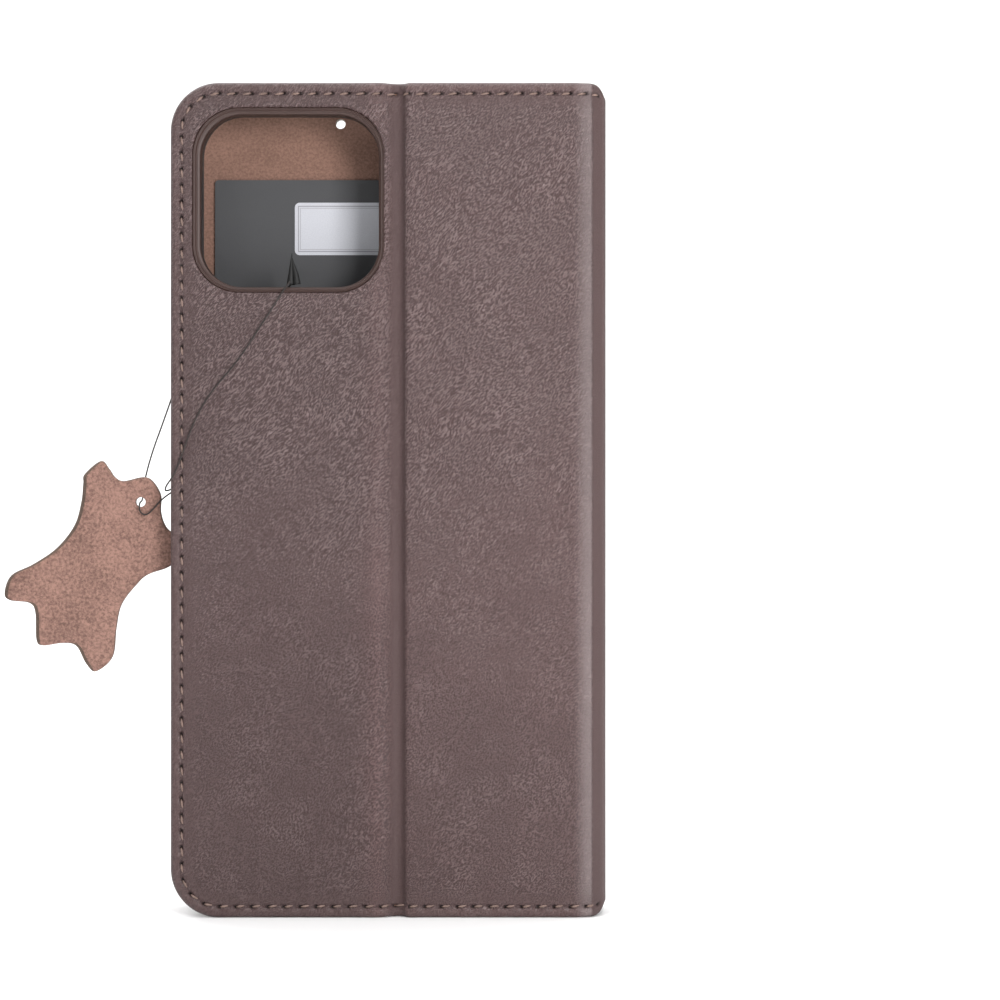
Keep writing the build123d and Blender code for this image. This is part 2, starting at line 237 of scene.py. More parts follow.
def fill(loops, spacing):
    """Triangles between the first closed loop and the others inside it, with evenly spread points added."""
    low, high = loops[0].min(0), loops[0].max(0)
    rows = []
    for k, row in enumerate(np.arange(low[1] + spacing / 2, high[1], spacing * 0.866)):
        x = np.arange(low[0] + spacing / 2 * (k % 2), high[0], spacing)
        rows.append(np.stack([x, np.full_like(x, row)], 1))
    grid, edge = np.vstack(rows), np.vstack(loops)
    away = distance_from(edge)
    grid = grid[[away(p) > 0.62 * spacing for p in grid]]
    inside = within(grid, loops[0])
    for hole in loops[1:]:
        inside &= ~within(grid, hole)
    points = np.vstack([edge, grid[inside]])
    edges, start = [], 0
    for loop in loops:
        n = len(loop)
        edges += [(start + i, start + (i + 1) % n) for i in range(n)]
        start += n
    found = delaunay_2d_cdt([tuple(p) for p in points], edges, [], 2, 1e-6)
    origin = [o[0] for o in found[3]]
    tris = np.array([[origin[i] for i in f] for f in found[2]])
    middle = points[tris].mean(1)
    for hole in loops[1:]:
        solid = ~within(middle, hole)
        tris, middle = tris[solid], middle[solid]
    return points, tris


# ---- meshes ----
def ring_faces(rings, n, count=None, back=False):
    """Quads between each ring of n points and the next. count leaves rings open; back turns the quads over."""
    quads = [(a + i, a + (i + 1) % n, b + (i + 1) % n, b + i)
             for a, b in zip(rings, rings[1:]) for i in range(count or n)]
    return [(p, s, r, q) for p, q, r, s in quads] if back else quads


def make_mesh(name, verts, faces, materials, uv=None, attributes=None, kinds=None, smooth=True):
    """A closed mesh object from millimetres. uv and each attribute have a value for each point, kinds the
    number of its material for each face."""
    mesh = bpy.data.meshes.new(name)
    mesh.from_pydata((np.asarray(verts) * MM).tolist(), [], [tuple(int(i) for i in f) for f in faces])
    if uv is not None:
        layer = mesh.uv_layers.new(name="grain")
        corner = np.empty(len(mesh.loops), np.int32)
        mesh.loops.foreach_get("vertex_index", corner)
        layer.data.foreach_set("uv", (np.asarray(uv, np.float32) / GRAIN_UV)[corner].ravel())
    for key, values in (attributes or {}).items():
        made = mesh.attributes.new(key, "FLOAT", "POINT")
        made.data.foreach_set("value", np.asarray(values, np.float32))
    mesh.polygons.foreach_set("use_smooth", [smooth] * len(mesh.polygons))
    piece = bpy.data.objects.new(name, mesh)
    link_to_scene(piece)
    for material in materials:
        mesh.materials.append(material)
    if kinds:
        mesh.polygons.foreach_set("material_index", kinds)
    close_mesh(mesh)
    return piece


def close_mesh(mesh):
    """Closes the open loops that cut sides leave, with sharp edges, and turns every face outwards."""
    b = bmesh.new()
    b.from_mesh(mesh)
    edges = [e for e in b.edges if e.is_boundary]
    for e in edges:
        e.smooth = False
    if edges:
        bmesh.ops.triangle_fill(b, use_beauty=False, use_dissolve=False, edges=edges)
    bmesh.ops.recalc_face_normals(b, faces=b.faces)
    b.to_mesh(mesh)
    b.free()


class Sheet:
    """A thick sheet drawn flat, with rolled free edges and openings, and then wrapped on to a path."""

    def __init__(self, path, u0, u1, v0, v1, free, radius, section, close=(), dip=None, edge_r=0.0):
        self.path, self.shape, self.section, self.dip = path, (u0, u1, v0, v1, free, radius), section, dip
        self.edge_r = edge_r
        self.chains = outline(*self.shape)
        self.flat, self.depth, self.uv, self.extra, self.faces = [], [], [], [], []
        self.count, self.walls = 0, []
        u = np.linspace(u0 - 5, u1 + 5, 4000)
        density = np.ones_like(u) + sum(more * bump(u, at, width) for at, width, more in close)
        self.u, self.w = u, np.concatenate([[0], np.cumsum(density[1:] * np.diff(u))])

    def add(self, flat, depth, uv, extra):
        start = self.count
        for store, values in ((self.flat, flat), (self.depth, depth), (self.uv, uv), (self.extra, extra)):
            store.append(values)
        self.count += len(flat)
        return start

    def build(self, name, face, along=None, holes=(), grid=GRID, material=None, names=()):
        """face(p, inset, s) gives the outer face's depth and the values of its attributes at the points p."""
        closed = self.shape[4] == "both"
        first, last = [], []
        for k, chain in enumerate(self.chains):
            s = along[k] if along else None
            reach, rings, n = self.section[0][0], [], len(chain)
            for j, (d, h) in enumerate(self.section):
                p = chain[:, :2] + d * chain[:, 2:]
                if j:
                    reach -= math.dist(self.section[j - 1], (d, h))
                depth, extra = face(p, np.full(n, d), s)
                fade = 1.0 if h == 0 else max(0.0, 1 - h / self.edge_r)
                rings.append(self.add(p, h + fade * depth, chain[:, :2] + reach * chain[:, 2:], extra * fade))
            self.faces += ring_faces(rings, n, n if closed else n - 1)
            first.append((rings[0], n))
            last.append((rings[-1], n))
        self.cover(first, 0.0, face, holes, grid, True)
        self.cover(last, self.section[-1][1], face, holes, grid * 4, False)
        for (a, n), (b, _) in zip(self.walls[:len(holes)], self.walls[len(holes):]):
            self.faces += ring_faces([a, b], n, back=True)
        flat, depth = np.vstack(self.flat), np.concatenate(self.depth)
        extra = np.vstack(self.extra)
        values = {key: extra[:, k] for k, key in enumerate(names)}
        return make_mesh(name, self.place(flat, depth), self.faces, [material], np.vstack(self.uv), values)

    def cover(self, rings, base, face, holes, grid, outer):
        """Fills one face of the sheet between its rings, its cut sides and its openings."""
        loops, ids = [], []
        flat = np.vstack(self.flat)
        for k, (start, n) in enumerate(rings):
            loops.append(flat[start:start + n])
            ids.append(np.arange(start, start + n))
            if self.shape[4] != "both":
                a, b = flat[start + n - 1], flat[rings[(k + 1) % len(rings)][0]]
                between = np.linspace(a, b, max(2, int(math.dist(a, b) / min(grid, 2.0))) + 1)[1:-1]
                at = self.inner_points(between, base, face, outer)
                loops.append(between)
                ids.append(np.arange(at, at + len(between)))
        loops = [np.vstack(loops)]
        for hole, section in holes:
            n = len(hole)
            if outer:
                starts = []
                for e, h in section:
                    p = hole[:, :2] + e * hole[:, 2:]
                    depth, extra = face(p, inset_of(p, *self.shape), None)
                    fade = max(0.0, 1 - h / 0.5)
                    starts.append(self.add(p, h + fade * depth, p, extra * fade))
                self.faces += ring_faces(starts, n, back=True)
                self.walls.append((starts[-1], n))
                loops.append(hole[:, :2] + section[0][0] * hole[:, 2:])
                ids.append(np.arange(starts[0], starts[0] + n))
            else:
                p = hole[:, :2] + section[-1][0] * hole[:, 2:]
                at = self.inner_points(p, base, face, False)
                self.walls.append((at, n))
                loops.append(p)
                ids.append(np.arange(at, at + n))
        squeezed = [np.stack([np.interp(p[:, 0], self.u, self.w), p[:, 1]], 1) for p in loops]
        points, tris = fill(squeezed, grid)
        known = np.concatenate(ids)
        new = points[len(known):].copy()
        new[:, 0] = np.interp(new[:, 0], self.w, self.u)
        start = self.inner_points(new, base, face, outer)
        lookup = np.concatenate([known, start + np.arange(len(new))]).astype(int)
        tris = lookup[tris]
        self.faces += [tuple(t) for t in tris]

    def inner_points(self, p, base, face, outer):
        depth, extra = face(p, inset_of(p, *self.shape), None)
        return self.add(p, base + depth * outer, p, extra * outer)

    def place(self, flat, depth):
        place = self.path.at(flat[:, 0]) - self.path.outward(flat[:, 0]) * np.asarray(depth)[:, None]
        v = flat[:, 1] if self.dip is None else self.dip(flat[:, 0], flat[:, 1])
        return np.stack([place[:, 0], place[:, 1], v], 1)


def turned(r, angle, steps):
    """The rounding of an edge as (inset, depth), from the face through an angle."""
    return [(r - r * math.sin(a), r - r * math.cos(a)) for a in np.radians(np.linspace(0, angle, steps))]


def rolled(insets, r, thick, turn_in=None):
    """A sheet's section as (inset, depth): face, rounded edge and, on thick leather, the turned-in flap."""
    face = [(d, 0.0) for d in insets]
    roll = turned(r, 180, 13 if turn_in else 7)
    if turn_in is None:
        return face + roll + [(insets[0], 2 * r)]
    flap = [(turn_in - 0.1, 2 * r), (turn_in, 2 * r - 0.1), (turn_in - 0.1, 2 * r - 0.2), (1.5, 2 * r - 0.25)]
    return face + roll + flap + [(1.45, thick + 0.05), (1.6, thick), (insets[0], thick)]


def seam_lengths(chain, inset=SEAM_INSET):
    q = chain[:, :2] + inset * chain[:, 2:]
    return np.concatenate([[0], np.cumsum(np.linalg.norm(np.diff(q, axis=0), axis=1))])


# ---- materials ----
class Nodes:
    """Short calls for building a material's node tree."""

    def __init__(self, name, **shader):
        self.material = bpy.data.materials.new(name)
        self.material.use_nodes = True
        self.tree = self.material.node_tree
        self.shader = self.tree.nodes["Principled BSDF"]
        for key, value in shader.items():
            self.shader.inputs[key.replace("_", " ")].default_value = value

    def feed(self, socket, value):
        """Links a node's output to a socket, or sets the socket's own value."""
        if hasattr(value, "links"):
            self.tree.links.new(value, socket)
        else:
            socket.default_value = value

    def new(self, kind, values=None, **settings):
        node = self.tree.nodes.new("ShaderNode" + kind)
        for key, value in settings.items():
            setattr(node, key, value)
        for key, value in (values or {}).items():
            self.feed(node.inputs[key], value)
        return node

    def math(self, operation, a, b=0.0):
        return self.new("Math", {0: a, 1: b}, operation=operation).outputs[0]

    def add(self, a, b):
        return self.math("ADD", a, b)

    def sub(self, a, b):
        return self.math("SUBTRACT", a, b)

    def mul(self, a, b):
        return self.math("MULTIPLY", a, b)

    def blend(self, a, share_a, b, share_b):
        """Two values added, each with its share."""
        return self.add(self.mul(a, share_a), self.mul(b, share_b))

    def range(self, x, low, high, to_low=0.0, to_high=1.0):
        values = {0: x, 1: low, 2: high, 3: to_low, 4: to_high}
        return self.new("MapRange", values, interpolation_type="SMOOTHSTEP").outputs[0]

    def mix(self, factor, a, b):
        return self.new("Mix", {0: factor, 6: a, 7: b}, data_type="RGBA").outputs[2]

    def millimetres(self, uv=False):
        """Coordinates in millimetres: the leather's own, or the object's."""
        if uv:
            source, scale = self.new("UVMap", uv_map="grain").outputs[0], GRAIN_UV
        else:
            source, scale = self.new("TexCoord").outputs["Object"], 1 / MM
        return self.new("Mapping", {"Vector": source, "Scale": (scale,) * 3}).outputs[0]

    def stretch(self, p, angle, scale):
        turned = self.new("Mapping", {"Vector": p, "Rotation": (0, 0, math.radians(angle))}).outputs[0]
        return self.new("Mapping", {"Vector": turned, "Scale": scale}).outputs[0]

    def noise(self, p, scale, detail=3.0, rough=0.55, out="Fac"):
        node = self.new("TexNoise", {"Vector": p, "Scale": scale, "Detail": detail, "Roughness": rough})
        return node.outputs[out]

    def cells(self, p, edge):
        node = self.new("TexVoronoi", {"Vector": p, "Scale": 1.0}, feature="DISTANCE_TO_EDGE")
        return self.range(node.outputs["Distance"], 0.0, edge)

    def warp(self, p, scale, amount):
        """p pushed about by smooth noise."""
        vector = lambda operation, values: self.new("VectorMath", values, operation=operation).outputs[0]
        push = vector("SUBTRACT", {0: self.noise(p, scale, 2.0, 0.5, "Color"), 1: (0.5,) * 3})
        return vector("ADD", {0: p, 1: vector("SCALE", {0: push, "Scale": amount})})

    def finish(self, colour, height=None, depth_mm=0.1, strength=1.0, rough=None):
        self.feed(self.shader.inputs["Base Color"], colour)
        if rough is not None:
            self.feed(self.shader.inputs["Roughness"], rough)
        if height is not None:
            relief = self.new("Bump", {"Height": height, "Distance": depth_mm * MM, "Strength": strength})
            self.feed(self.shader.inputs["Normal"], relief.outputs[0])
        return self.material


def srgb(r, g, b):
    """A colour given as the eye sees it, from 0 to 255."""
    return (*[c / 3294.6 if c <= 10.31 else ((c / 255 + 0.055) / 1.055) ** 2.4 for c in (r, g, b)], 1.0)


def shade(base, factor, lift=0.0):
    """A colour made lighter or darker."""
    return (*[min(1, c * factor + lift) for c in base[:3]], 1)


def leather_material(name, base, uv=True, attributes=True, size=1.0, depth=0.3):
    """Full-grain leather: long slanted grain above, finer pebbles below, smooth where it is pressed or bent."""
    m = Nodes(name, Roughness=0.5, Specular_IOR_Level=0.5, Sheen_Weight=0.03, Sheen_Roughness=0.5)
    p = m.millimetres(uv)
    if size != 1.0:
        p = m.new("Mapping", {"Vector": p, "Scale": (1 / size,) * 3}).outputs[0]
    if not uv:  # a panel lies in the XZ plane, and the grain's plane is XY
        p = m.new("Mapping", {"Vector": p, "Rotation": (math.radians(-90), 0, 0)}).outputs[0]
    bent = m.warp(m.warp(p, 0.03, 6.0), 0.5, 0.35)
    strokes = m.range(m.noise(m.stretch(bent, -48, (1.45, 4.8, 1.0)), 1.0, 2.0, 0.5), 0.4, 0.6)
    cells = m.cells(m.stretch(bent, -48, (1.8, 4.2, 1.0)), 0.35)
    fine = m.range(m.noise(m.stretch(bent, -45, (2.1, 4.2, 1.0)), 1.0, 2.0, 0.5), 0.38, 0.62)
    along, up, _ = m.new("SeparateXYZ", {0: p}).outputs
    painted_valley_shade = (0.42 * base[0], 0.34 * base[1], 0.36 * base[2], 1)
    upper = m.range(m.add(up, m.mul(m.noise(p, 0.03), 90.0)), 70.0, 150.0)
    long = m.blend(strokes, 0.72, cells, 0.28)
    grain = m.blend(long, upper, fine, m.sub(1.0, upper))
    patches = m.range(m.noise(p, 0.09, 3.0, 0.6), 0.3, 0.7, 0.82, 1.1)
    relief = m.mul(grain, m.mul(patches, m.range(upper, 0.0, 1.0, 0.6, 1.0)))
    height = m.add(relief, m.mul(m.noise(p, 4.5, 2.0, 0.6), 0.16))  # with fine pores
    colour = m.mix(m.range(m.noise(p, 0.045, 3.0, 0.5), 0.3, 0.7), shade(base, 0.96), shade(base, 1.05))
    # light: the grain's relief, which is later mixed into the colour as painted highlight and painted shade
    light, rough = m.sub(relief, 0.4), None
    if attributes:
        plain, ridge, crease, fold, needle = (
            m.new("Attribute", attribute_name=key).outputs["Fac"]
            for key in ("plain", "ridge", "crease", "fold", "needle"))
        # painted shade makes the camera half darker, up to the crease
        colour = m.mix(m.range(along, 35.0, 41.5, 0.8, 0.0), colour, shade(base, 0.76))
        keep = m.sub(1.0, m.mul(plain, 0.85))
        across = m.noise(m.stretch(bent, 8, (0.5, 2.3, 1.0)), 1.0, 3.0, 0.6)
        upright = m.noise(m.stretch(bent, -60, (0.5, 2.4, 1.0)), 1.0, 3.0, 0.6)
        height = m.add(m.mul(height, keep), m.mul(across, m.mul(ridge, 1.1)))
        height = m.add(height, m.mul(upright, m.mul(crease, 0.9)))
        light = m.mul(light, keep)
        rough = m.range(fold, 0.0, 1.0, 0.42, 0.68)
        # painted highlight on the bulge beside the crease
        colour = m.mix(m.mul(crease, 0.5), colour, shade(base, 1.5))
    # painted highlight on the grain's ridges and painted shade in its valleys
    colour = m.mix(m.range(light, 0.0, 0.4, 0.0, 0.8), colour, shade(base, 1.3, 0.06))
    colour = m.mix(m.range(light, -0.38, 0.0, 0.78, 0.0), colour, painted_valley_shade)
    if attributes:
        # painted highlight on the ridge before the spine's roll and beside the cover's roll
        colour = m.mix(m.mul(ridge, 0.68), colour, shade(shade(base, 1.5), 0.75, 0.12))
        # painted shade on the roll round the spine, in the crease's groove and in a band inside the seam
        colour = m.mix(m.mul(fold, 0.8), colour, shade(base, 0.6))
        # painted shade in the needle holes
        colour = m.mix(m.mul(needle, 0.97), colour, srgb(24, 13, 11))
    return m.finish(colour, height, depth, rough=rough)


def suede_material(name, base, uv=True, vary=0.24, nap_scale=2.0):
    m = Nodes(name, Roughness=0.92, Specular_IOR_Level=0.2, Sheen_Weight=0.35, Sheen_Roughness=0.4,
              Sheen_Tint=(0.9, 0.8, 0.75, 1))
    p = m.millimetres(uv)
    nap = m.noise(m.warp(p, 0.3, 0.9), nap_scale, 4.0, 0.72)
    height = m.blend(nap, 0.7, m.noise(p, 6.0, 2.0, 0.65), 0.3)
    brushed = m.blend(m.noise(p, 0.12, 3.0, 0.6), 0.22, nap, 0.78)
    colour = m.mix(m.range(brushed, 0.36, 0.64), shade(base, 1 - vary), shade(base, 1 + vary))
    return m.finish(colour, height, 0.12, 0.9)


def thread_material(name, base, rough=0.55, uv=False):
    m = Nodes(name, Roughness=rough, Specular_IOR_Level=0.4)
    p = m.millimetres(uv)
    fibre = m.noise(p, 7.0, 3.0, 0.65)
    tone = m.blend(fibre, 0.6, m.noise(p, 0.9, 2.0, 0.5), 0.4)
    return m.finish(m.mix(m.range(tone, 0.3, 0.7), shade(base, 0.7), shade(base, 1.3, 0.002)), fibre, 0.05, 0.8)


def plain_material(name, base, rough, texture=2.5, depth=0.02, vary=0.12, metallic=0.0):
    """Board, foam, plastic or metal: a fine surface and a slightly uneven colour."""
    m = Nodes(name, Metallic=metallic)
    p = m.millimetres()
    surface, patches = m.noise(p, texture, 4.0, 0.6), m.noise(p, 0.08, 3.0, 0.6)
    tone = m.range(m.blend(surface, 0.4, patches, 0.6), 0.3, 0.7)
    rough = m.range(patches, 0.3, 0.7, rough - 0.05, rough + 0.06)
    return m.finish(m.mix(tone, shade(base, 1 - vary), shade(base, 1 + vary)), surface, depth, rough=rough)


LEATHER = leather_material("case_leather", srgb(88, 66, 65))
SMALL_LEATHER = leather_material("pocket_leather", srgb(96, 75, 69), attributes=False, size=0.8, depth=0.06)
SUEDE = suede_material("suede_lining", srgb(125, 96, 84))
SEAM_THREAD = thread_material("seam_thread", srgb(124, 103, 94), uv=True)
WAXED_THREAD = thread_material("waxed_thread", srgb(44, 37, 35), 0.6)
KNOT_THREAD = thread_material("knot_thread", srgb(8, 7, 7), 0.6)
SHELL = plain_material("soft_shell", srgb(42, 36, 35), 0.52, 6.0, 0.012, 0.08)
BUTTON = plain_material("soft_button", srgb(46, 40, 39), 0.45, 6.0, 0.01, 0.08)
BOARD = plain_material("greyboard", srgb(150, 142, 130), 0.85, 3.0, 0.05)
FOAM = plain_material("foam", srgb(196, 190, 180), 0.95, 2.0, 0.1)
MAGNET = plain_material("plated_magnet", srgb(170, 170, 174), 0.28, 1.5, 0.004, 0.05, 1.0)
TAPE = plain_material("adhesive_sheet", srgb(206, 200, 186), 0.6, 1.2, 0.02)
CARD_STOCK = plain_material("card_stock", srgb(66, 66, 68), 0.72, 3.5, 0.015, 0.07)
TAG_SUEDE = suede_material("tag_suede", srgb(133, 103, 93), uv=False, vary=0.4, nap_scale=1.7)
RAW_EDGE = suede_material("raw_edge", srgb(92, 76, 66), uv=False)
TAG_GRAIN = leather_material("tag_grain", srgb(98, 82, 73), uv=False, attributes=False, size=0.7, depth=0.05)


def lip_material():
    """Pressed leather: the case's colour on the face of the lip, with painted shade making its wall darker."""
    m = Nodes("pressed_leather", Roughness=0.5, Specular_IOR_Level=0.4)
    facing = m.new("SeparateXYZ", {0: m.new("TexCoord").outputs["Normal"]}).outputs[1]
    # painted shade: darker where the surface turns away from the back into the wall
    colour = m.mix(m.range(facing, -0.97, -0.7), srgb(64, 45, 41), srgb(50, 34, 29))
    return m.finish(colour, m.noise(m.millimetres(), 2.0, 4.0, 0.6), 0.03)


def label_material():
    """White paper with a thin double border, which fades with the distance from the label's edge."""
    low, high = box_mm("card_label")
    m = Nodes("label_paper", Roughness=0.6, Specular_IOR_Level=0.35)
    p = m.millimetres()
    x, _, z = m.new("SeparateXYZ", {0: p}).outputs
    middle, half = (low + high) / 2, (high - low) / 2
    side = m.sub(half[0], m.math("ABSOLUTE", m.sub(x, middle[0])))
    end = m.sub(half[2], m.math("ABSOLUTE", m.sub(z, middle[2])))
    inset = m.math("MINIMUM", side, end)
    lines = 0.0
    for at, width, weight in ((0.75, 0.11, 0.55), (1.15, 0.07, 0.4)):
        off = m.math("ABSOLUTE", m.sub(inset, at))
        lines = m.math("MAXIMUM", lines, m.range(off, width * 0.6, width * 1.3, weight, 0.0))
    paper = m.noise(p, 5.0, 3.0, 0.6)
    white = m.mix(m.range(paper, 0.3, 0.7), srgb(184, 185, 192), srgb(194, 195, 201))
    return m.finish(m.mix(lines, white, srgb(70, 64, 66)), paper, 0.01)


LABEL_PAPER = label_material()
LIP_LEATHER = lip_material()


# ---- the leather's path round the case ----
def beside(face, points):
    """Points of a path: x, and y from a face of the case."""
    return [(x, face + y) for x, y in points]


OUTER = Path([
    *beside(BACK, (
        (LEFT, 0), (-12, 0), (-6.4, 0), (-4.8, -0.06), (-3.4, -0.2), (-2.2, -0.17), (-1.2, 0.02), (-0.2, 0.4),
        (0.6, 1.0), (1.4, 1.4), (2.3, 1.4), (2.9, 1.0), (3.3, 0.4), (3.75, -0.03), (4.5, -0.06), (6, 0), (9, 0),
        (CUT_X, 0), (34, 0), (36.6, -0.02), (38.2, 0.08), (39.8, 0.32), (40.9, 0.55), (41.25, 0.78),
        (42.1, 1.55), (43.1, 2.5), (43.85, 3.6), (RIGHT, 5.0))),
    (RIGHT, -1.6), (RIGHT, 0), (RIGHT, 1.6),
    *beside(FRONT, (
        (RIGHT, -4.8), (44.0, -3.3), (43.3, -2.1), (42.3, -1.15), (41.2, -0.5), (40.0, -0.12), (38.4, 0),
        (36, 0), (CUT_X, 0), (-10, 0), (LEFT, 0))),
])
HALF = OUTER.find(1, 0.0, 0.2, 0.8)
AT_CUT = OUTER.find(0, CUT_X, 0.0, 0.5)
FOLD_FROM, FOLD_TO = OUTER.on_back(41.0), OUTER.find(1, -5.5, 0.2, 0.48)
FOLD_MIDDLE = (FOLD_FROM + FOLD_TO) / 2
SEAM_STOP, COVER_STOP = OUTER.on_back(42.9), OUTER.on_cover(42.3)
RIDGE, ROLL, FRONT_ROLL = OUTER.on_back(40.1), OUTER.on_back(41.2), OUTER.on_cover(41.3)
GROOVE_FROM, GROOVE_TO = OUTER.on_back(0.6), OUTER.on_back(3.4)
BULGE, FINE_LINE, CREASE_U = OUTER.on_back(-2.4), OUTER.on_back(43.5), OUTER.on_back(CREASE_X)
LENGTH = OUTER.length

INSIDE_INSET = 1.3  # the lining ends this far inside the case's outline
INSIDE_LEFT = LEFT + INSIDE_INSET
INNER = Path([
    *beside(BACK_INSIDE, (
        (INSIDE_LEFT, 0), (-4, 0), (0, 0), (1.5, -0.12), (3, 0), (8, 0), (CUT_X, 0), (38.4, 0), (40, 0),
        (41.3, 0.25), (SPINE_INSIDE, 1.2))),
    (SPINE_INSIDE, -3.0), (SPINE_INSIDE, 0), (SPINE_INSIDE, 2.4),
    *beside(COVER_INSIDE, (
        (SPINE_INSIDE, -1.2), (41.3, -0.25), (40, 0), (38.2, 0), (CUT_X, 0), (-10, 0), (INSIDE_LEFT, 0))),
], side=-1)
INNER_HALF = INNER.find(1, 0.0, 0.2, 0.8)
INNER_CUT = INNER.find(0, CUT_X, 0.0, 0.5)


def lower_spine(path):
    """The leather is a little shorter where it runs round the spine."""
    back, back_end = path.on_back(41.0), path.find(1, -3.4, 0.2, 0.48)
    front, front_end = path.on_cover(41.0), path.find(1, 3.4, 0.5, 0.8)

    def dip(u, v):
        share = (smoothstep(back, back_end, u) * (1 - smoothstep(front_end, front, u))) ** 2.6
        return v + (HEIGHT / 2 - v) * share * SPINE_SHORT / (HEIGHT / 2)

    return dip


SKIN_INSETS = (RING_END, 3.0, 2.86, 2.74, 2.64, 2.55, 2.47, 2.39, 2.31, 2.23, 2.15, 2.06, 1.96, 1.84, 1.7, 1.55,
               1.35, 1.2)
SKIN_SECTION = rolled(SKIN_INSETS, EDGE_R, SKIN, TURN_IN)
# the material's values: needle (painted shade in the holes), plain (smoother grain), ridge and crease (wrinkles
# and painted highlights), fold (roughness and painted shade)
GRAIN_VALUES = ("needle", "plain", "ridge", "crease", "fold")


class Seam:
    """Where one sheet's seam runs: s along each chain, the stitch length, and the stretch that is sewn."""

    def __init__(self, along, pitch, low, high):
        self.along, self.pitch, self.low, self.high = along, pitch, low, high

    def to_needle(self, s):
        """The distance along the seam from the nearest needle hole."""
        away = abs((s / self.pitch) % 1 - 0.5) * self.pitch
        return np.where((s > self.low) & (s < self.high), away, NO_NEEDLE)


def skin_face(seam, seam_mask):
    """The depth and the material values of the leather's outer face at flat points."""

    def face(p, d, s):
        u = p[:, 0]
        sewn = seam_mask(u)
        groove = 0.2 * bump(d, SEAM_INSET, 0.42) * sewn + 0.1 * bump(d, 3.1, 0.9) * sewn
        needle = np.zeros(len(u))
        if s is not None and d[0] <= RING_END:
            away, row = seam.to_needle(s), SEAM_INSET - 0.08
            groove = groove + 0.6 * (bump(away, 0, 0.46) * bump(d, row, 0.3))
            # needle: painted shade in the needle holes
            needle = np.clip(1.5 * bump(away, 0, 0.36) * bump(d, row, 0.27), 0, 1)
            swell = np.clip(away / (0.5 * seam.pitch), 0, 1)  # the leather rises between the holes
            groove = groove - 0.14 * swell * bump(d, 1.5, 0.42) * sewn
            groove = groove + 0.12 * (1 - swell) * bump(d, 1.6, 0.38) * sewn
        border = 0.55 * (1 - smoothstep(1.5, 2.4, d)) * sewn
        roll = smoothstep(ROLL, ROLL + 0.5, u) * (1 - smoothstep(FRONT_ROLL - 0.5, FRONT_ROLL, u))
        # fold: rougher leather with painted shade on the roll round the spine, less of it along a thin line
        fold = smoothstep(ROLL - 0.1, ROLL + 0.3, u) * (1 - smoothstep(FOLD_TO + 2, FOLD_TO + 5, u))
        fold = fold - 0.45 * bump(u, FINE_LINE, 0.3)
        # groove_dark: painted shade in the crease's groove, where the grain is also smoother
        groove_dark = smoothstep(GROOVE_FROM - 1.2, GROOVE_FROM + 0.8, u)
        groove_dark = groove_dark * (1 - smoothstep(GROOVE_TO - 0.3, GROOVE_TO + 0.2, u))
        # ridge: crosswise wrinkles and a painted highlight before the spine's roll, and a weaker one beside the
        # cover's roll
        ridge = smoothstep(RIDGE - 3.0, RIDGE + 0.6, u) * (1 - smoothstep(ROLL - 0.25, ROLL, u))
        ridge = ridge + 0.6 * bump(u, FRONT_ROLL + 2.0, 1.3)
        # crease: fine upright wrinkles and a painted highlight on the bulge beside the crease
        crease = bump(u, BULGE, 1.5)
        plain = np.maximum(np.maximum(border, 0.9 * roll), 0.8 * groove_dark)
        # pressed: a band inside the seam with smoother grain, rougher leather and painted shadow
        pressed = 0.45 * bump(d, 3.4, 1.3) * sewn
        extra = np.stack([needle, np.maximum(plain, pressed), ridge, crease,
                          np.maximum(np.maximum(fold, 0.9 * groove_dark), pressed)], 1)
        return groove, extra

    return face


def add_stitches(name, sheet, seam, radius=0.2, inset=SEAM_INSET, sink=1.0, keep=None):
    """One mesh of short twisted threads. Each rises out of the leather and sinks at the next needle hole."""
    stations, around = 11, 9
    verts, faces, uvs = [], [], []
    t = np.linspace(0, 1, stations)
    theta = np.linspace(0, 2 * math.pi, around, endpoint=False)
    for chain, s in zip(sheet.chains, seam.along):
        order = np.argsort(s)
        sign = 1 if s[-1] > s[0] else -1
        first, final = max(seam.low, s.min()), min(seam.high, s.max())
        for k in range(int(first / seam.pitch) - 1, int(final / seam.pitch) + 2):
            a, b = np.array([k - 0.5 * sign, k + 0.5 * sign]) * seam.pitch
            if not first <= (a + b) / 2 <= final or (keep and not keep(chain[np.argmin(abs(s - a)), :2])):
                continue
            along = a + sign * 1.15 + (b - a - sign * 1.25) * t
            d = inset + 0.24 - 0.34 * t
            depth = sink * (0.46 - 0.36 * np.sin(math.pi * t**1.35) ** 0.75 + 0.12 * (1 - t))
            line = np.stack([np.interp(along, s[order], chain[order, c]) for c in range(4)], 1)
            flat = line[:, :2] + d[:, None] * line[:, 2:]
            centre = sheet.place(flat, depth)
            out = centre - sheet.place(flat, depth + 0.1)
            out /= np.linalg.norm(out, axis=1, keepdims=True)
            onward = np.gradient(centre, axis=0)
            onward /= np.linalg.norm(onward, axis=1, keepdims=True)
            side = np.cross(onward, out)
            taper = np.clip(np.sin(math.pi * (0.04 + 0.92 * t)) * 2.2, 0, 1) ** 0.5
            base = len(verts)
            for i in range(stations):
                ply = radius * taper[i] * (1 + 0.13 * np.cos(2 * (theta - 5.0 * t[i])))
                ring = np.outer(np.cos(theta) * ply, side[i]) + np.outer(np.sin(theta) * ply, out[i])
                verts += list(centre[i] + ring)
                uvs += [(along[i], flat[i][1] + 0.2 * q) for q in theta]
            faces += tube_faces(base, stations, around)
    piece = make_mesh(name, verts, faces, [SEAM_THREAD], uvs)
    return piece


